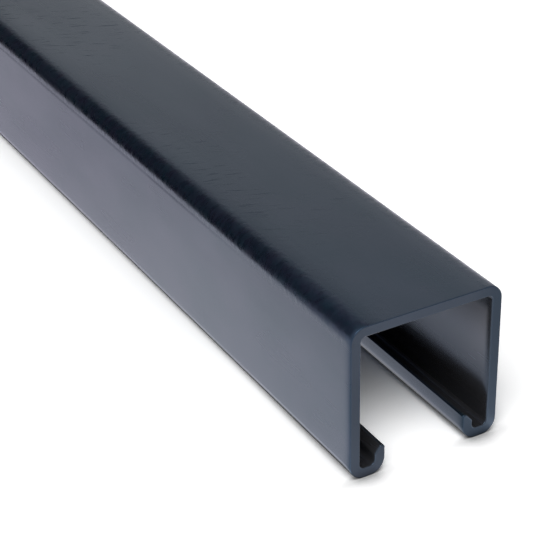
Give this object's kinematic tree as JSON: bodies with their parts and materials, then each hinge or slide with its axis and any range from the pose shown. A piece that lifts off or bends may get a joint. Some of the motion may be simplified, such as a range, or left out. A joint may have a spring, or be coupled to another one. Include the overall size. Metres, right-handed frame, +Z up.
{
  "type": "strut channel",
  "caption": "Solid strut channel, roll formed from one steel strip to a square C with two lips turned back beside its slot.",
  "frame": {"origin": "on the floor under the feet, at the centre of the length and of the slot", "axes": "+X along the channel, +Y across it from flange to flange, +Z up from the open side through the web"},
  "size_m": [0.6096, 0.0412, 0.0413],
  "materials": {
    "black_coat": "thin semi-gloss black enamel with a trace of blue over oiled rolled steel, faint rolling lines, scuffs and smudges"
  },
  "bodies": {
    "root": {"strut_channel": "black_coat"}
  },
  "joints": []
}
